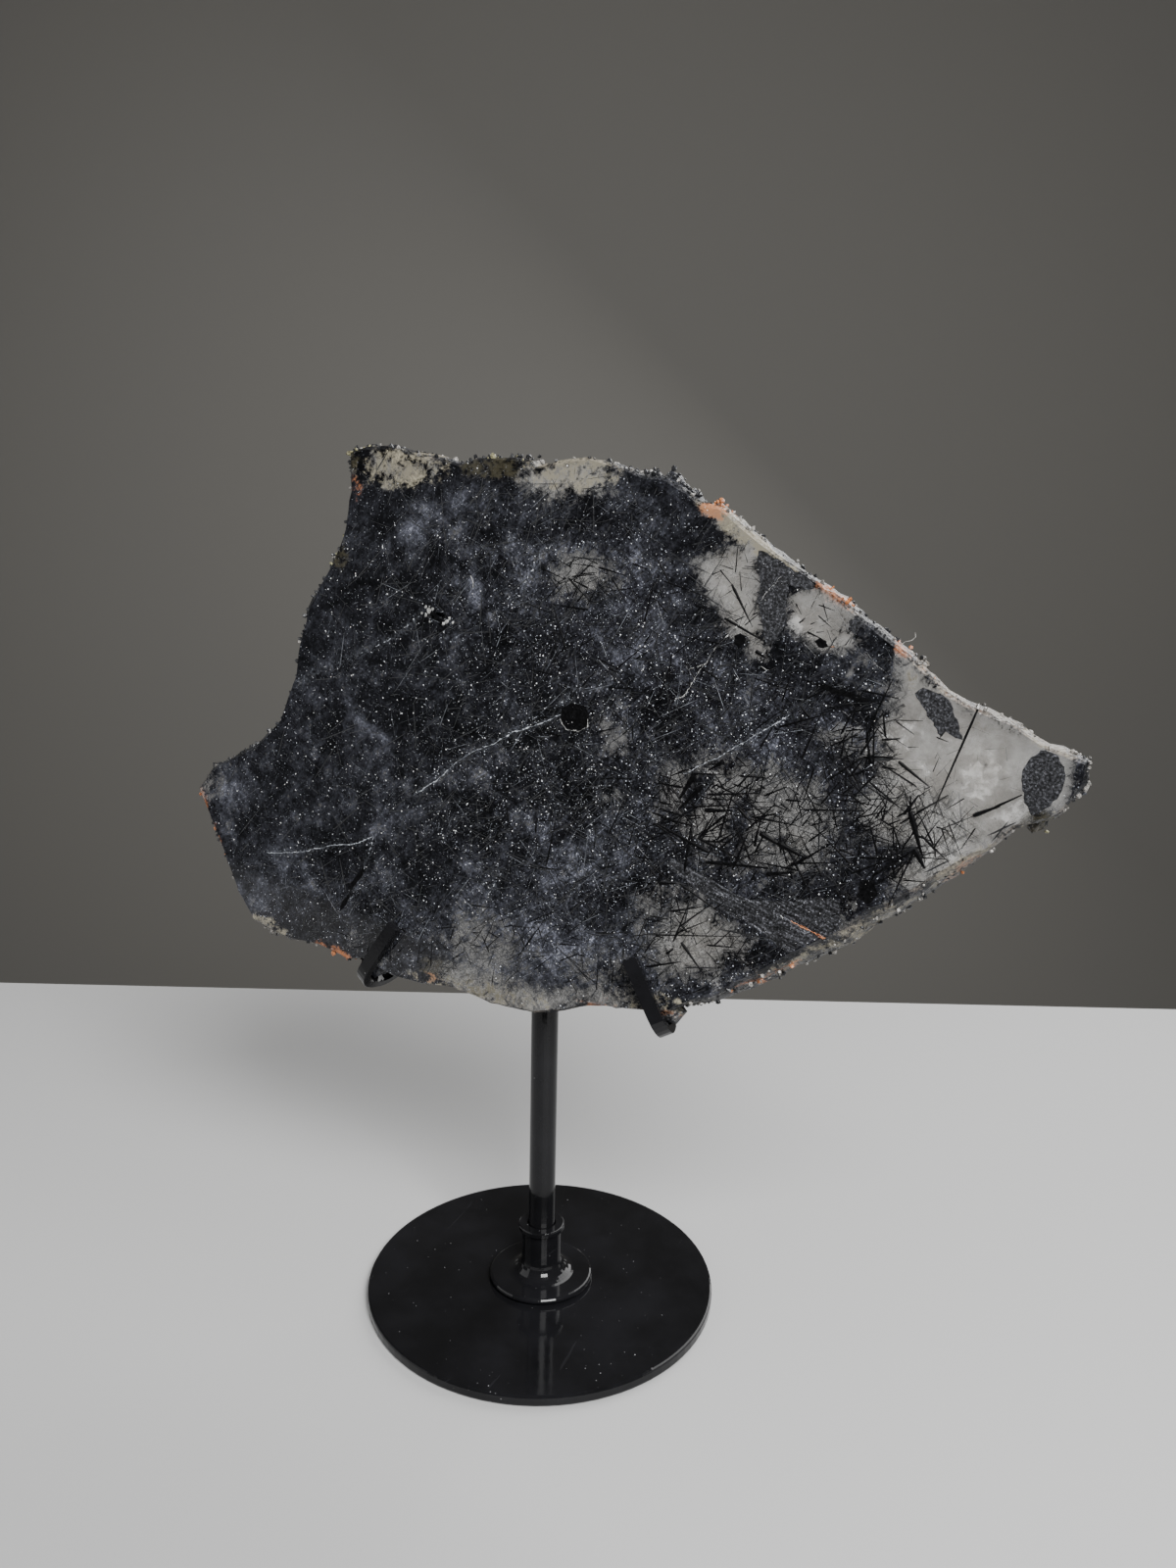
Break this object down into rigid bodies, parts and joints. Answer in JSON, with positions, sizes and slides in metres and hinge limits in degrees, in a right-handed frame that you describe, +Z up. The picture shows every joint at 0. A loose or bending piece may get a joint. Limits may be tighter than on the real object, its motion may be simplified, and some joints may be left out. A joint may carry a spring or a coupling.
{
  "type": "tourmalinated quartz slab",
  "caption": "Slice of clear grey quartz shot through with black tourmaline needles, held upright in the hooks of a round black metal stand.",
  "frame": {"origin": "centre of the base plate's underside, on the surface that the stand rests on", "axes": "+Z up along the pole, -Y towards the viewer and square to the slab's sawn faces, +X to the viewer's right along the slab"},
  "size_m": [0.2373, 0.1, 0.2373],
  "materials": {
    "tourmalinated_quartz": "sawn and polished faces, rough broken rim",
    "black_lacquer": "gloss black lacquer on steel"
  },
  "bodies": {
    "root": {"slab": "tourmalinated_quartz", "left_arm": "black_lacquer", "right_arm": "black_lacquer", "pole": "black_lacquer", "socket": "black_lacquer", "base_plate": "black_lacquer"}
  },
  "joints": []
}
